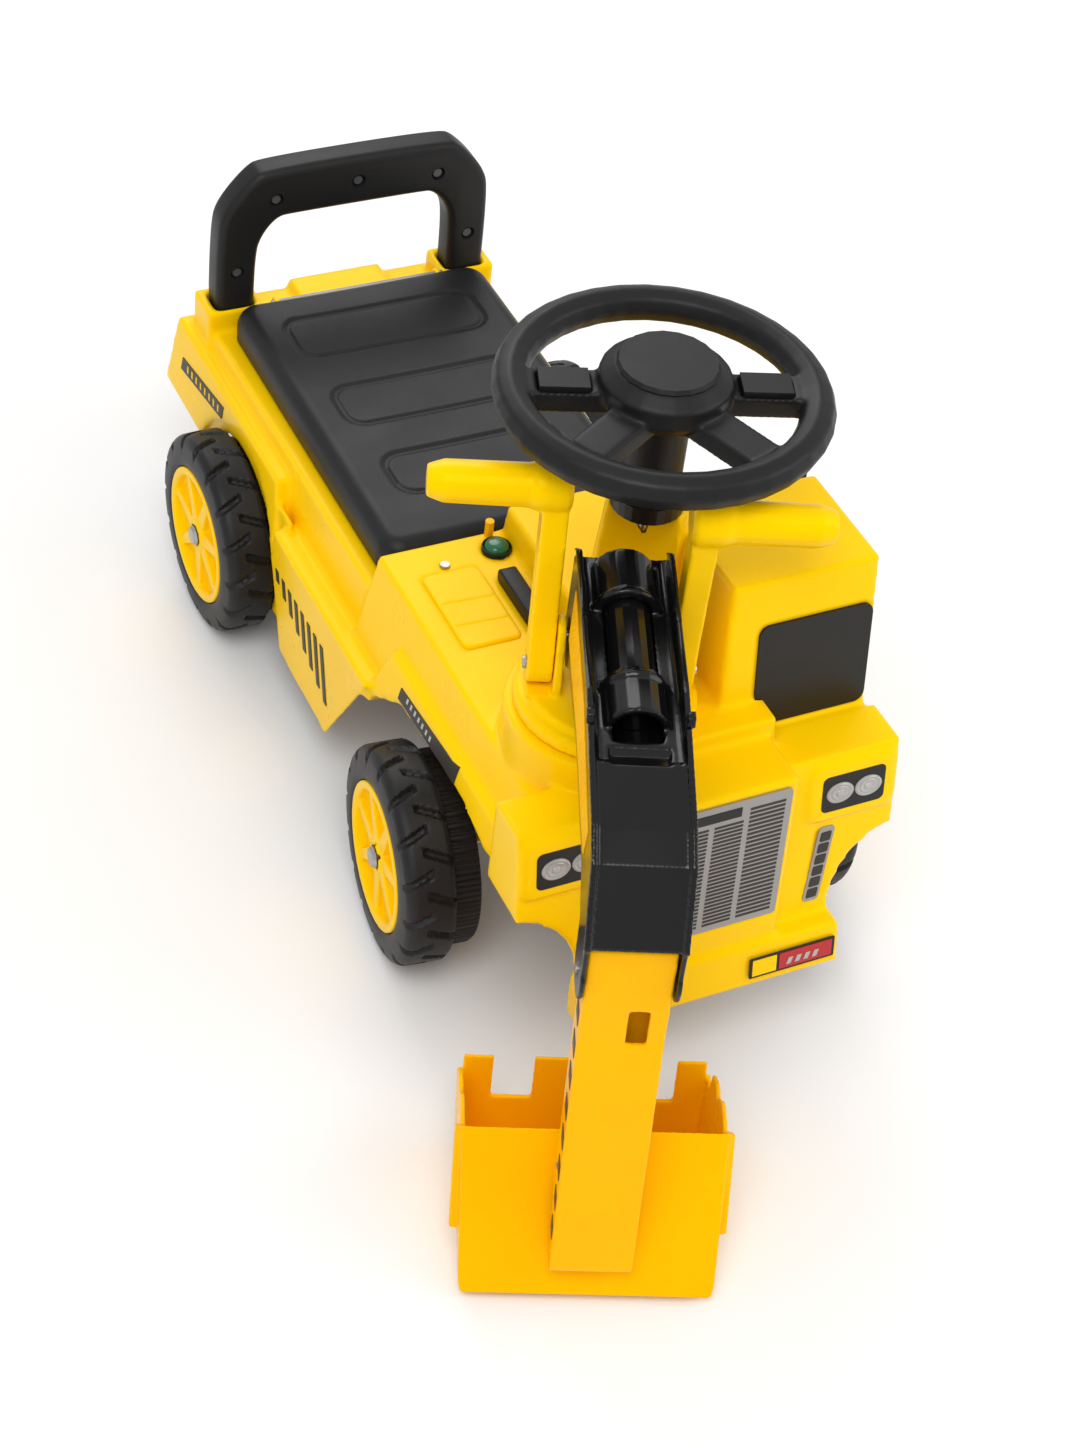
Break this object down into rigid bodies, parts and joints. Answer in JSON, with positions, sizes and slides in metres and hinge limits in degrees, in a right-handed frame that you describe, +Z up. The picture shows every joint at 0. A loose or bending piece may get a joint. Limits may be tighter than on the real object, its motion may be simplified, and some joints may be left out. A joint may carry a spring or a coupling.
{
  "type": "ride-on toy backhoe loader",
  "caption": "Foot-to-floor ride-on digger: moulded car with a hinged seat over a storage tray, a steering wheel, a push handle and a front digger arm worked by two levers.",
  "frame": {"origin": "middle of the floor under the whole toy, the arm included", "axes": "+Y towards the back of the toy, +X to the rider's left, +Z up"},
  "size_m": [0.3775, 0.827, 0.4372],
  "materials": {
    "body_yellow": "glossy",
    "arm_yellow": "glossy",
    "digger_orange": "glossy",
    "seat_black": "satin",
    "handle_black": "satin",
    "wheel_black": "satin",
    "boom_black": "glossy",
    "trim_black": "satin",
    "lamp_clear": "glossy",
    "trim_grey": "glossy",
    "tyre_black": "satin",
    "rim_yellow": "glossy",
    "metal": "satin",
    "under_black": "satin",
    "button_green": "glossy"
  },
  "bodies": {
    "car": {"body_shell": "body_yellow", "battery_cover": "body_yellow", "seat_peg": "digger_orange", "handle_front_half": "handle_black", "handle_rear_half": "handle_black", "handle_screw_1": "handle_black", "handle_screw_2": "handle_black", "handle_screw_3": "handle_black", "handle_screw_4": "handle_black", "handle_screw_5": "handle_black", "cab_window_panel": "trim_black", "button_bezel": "trim_black", "console_block": "trim_black", "dashboard_strip": "trim_black", "column_collar": "trim_black", "headlight_left": "lamp_clear", "headlight_right": "lamp_clear", "grille_panel": "trim_grey", "side_vent_left": "trim_grey", "side_vent_right": "trim_grey", "label_plate": "trim_grey", "battery_cover_screw": "metal", "seat_hinge_pin": "metal", "rear_axle": "metal", "rear_left_axle_cap": "metal", "rear_right_axle_cap": "metal", "chassis_pan": "under_black", "storage_tray": "under_black"},
    "seat": {"seat_lid": "seat_black"},
    "steering": {"steering_wheel": "wheel_black", "hub_cap": "wheel_black", "steering_shaft": "metal", "front_axle_bracket": "under_black", "front_axle": "metal", "front_left_axle_cap": "metal", "front_right_axle_cap": "metal"},
    "horn_left": {"horn_pad_left": "wheel_black"},
    "horn_right": {"horn_pad_right": "wheel_black"},
    "sound_button_key": {"sound_button": "button_green"},
    "front_left_wheel": {"front_left_tyre": "tyre_black", "front_left_rim": "rim_yellow"},
    "front_right_wheel": {"front_right_tyre": "tyre_black", "front_right_rim": "rim_yellow"},
    "rear_left_wheel": {"rear_left_tyre": "tyre_black", "rear_left_rim": "rim_yellow"},
    "rear_right_wheel": {"rear_right_tyre": "tyre_black", "rear_right_rim": "rim_yellow"},
    "arm_table": {"turntable": "arm_yellow", "boom_pin": "metal", "lever_screw_left": "metal", "lever_screw_right": "metal"},
    "lever_left_body": {"lever_left": "arm_yellow"},
    "lever_right_body": {"lever_right": "arm_yellow"},
    "boom_body": {"boom": "boom_black", "ram_tube": "boom_black", "stick_pin": "metal"},
    "stick_body": {"stick": "digger_orange", "bucket_pin": "metal"},
    "bucket_body": {"bucket": "digger_orange"}
  },
  "joints": [
    {"name": "seat_hinge", "type": "hinge", "parent": "car", "child": "seat", "pos_m": [0.0274, 0.359, 0.1945], "axis": [-1, 0, 0], "range_deg": [0, 78]},
    {"name": "steering_turn", "type": "hinge", "parent": "car", "child": "steering", "pos_m": [0.0274, -0.0785, 0.414], "axis": [0, 0, 1], "range_deg": [-9, 21]},
    {"name": "horn_left_press", "type": "slide", "parent": "steering", "child": "horn_left", "axis": [0, 0, -1], "range_m": [0, 0.002], "stiffness_N_per_m": 500, "springref_m": -0.0006},
    {"name": "horn_right_press", "type": "slide", "parent": "steering", "child": "horn_right", "axis": [0, 0, -1], "range_m": [0, 0.002], "stiffness_N_per_m": 500, "springref_m": -0.0006},
    {"name": "sound_button_press", "type": "slide", "parent": "car", "child": "sound_button_key", "axis": [0, 0, -1], "range_m": [0, 0.003], "stiffness_N_per_m": 400, "springref_m": -0.0008},
    {"name": "front_left_roll", "type": "hinge", "parent": "steering", "child": "front_left_wheel", "pos_m": [0.02656, -0.08646, 0.0726], "axis": [0.9945, -0.1045, 0], "continuous": true},
    {"name": "front_right_roll", "type": "hinge", "parent": "steering", "child": "front_right_wheel", "pos_m": [0.02656, -0.08646, 0.0726], "axis": [0.9945, -0.1045, 0], "continuous": true},
    {"name": "rear_left_roll", "type": "hinge", "parent": "car", "child": "rear_left_wheel", "pos_m": [0.0274, 0.2678, 0.0726], "axis": [1, 0, 0], "continuous": true},
    {"name": "rear_right_roll", "type": "hinge", "parent": "car", "child": "rear_right_wheel", "pos_m": [0.0274, 0.2678, 0.0726], "axis": [1, 0, 0], "continuous": true},
    {"name": "arm_swing", "type": "hinge", "parent": "car", "child": "arm_table", "pos_m": [-0.0156, -0.1345, 0.2343], "axis": [0, 0, 1], "range_deg": [-20, 35]},
    {"name": "boom_lift", "type": "hinge", "parent": "arm_table", "child": "boom_body", "pos_m": [-0.0156, -0.1345, 0.285], "axis": [-0.9232, 0.3843, 0], "range_deg": [0, 35]},
    {"name": "lever_right_pull", "type": "hinge", "parent": "arm_table", "child": "lever_right_body", "pos_m": [-0.0156, -0.1345, 0.262], "axis": [-0.9232, 0.3843, 0], "range_deg": [0, 17.5]},
    {"name": "stick_reach", "type": "hinge", "parent": "boom_body", "child": "stick_body", "pos_m": [-0.10168, -0.3413, 0.243], "axis": [-0.9232, 0.3843, 0], "range_deg": [0, 55]},
    {"name": "lever_left_push", "type": "hinge", "parent": "arm_table", "child": "lever_left_body", "pos_m": [-0.0156, -0.1345, 0.262], "axis": [0.9232, -0.3843, 0], "range_deg": [0, 22]},
    {"name": "bucket_curl", "type": "hinge", "parent": "stick_body", "child": "bucket_body", "pos_m": [-0.10898, -0.35884, 0.094], "axis": [0.9232, -0.3843, 0], "range_deg": [0, 40]}
  ],
  "couplings": [
    {"joint": "lever_right_pull", "follows": "boom_lift", "ratio": 0.5},
    {"joint": "lever_left_push", "follows": "stick_reach", "ratio": 0.4}
  ]
}
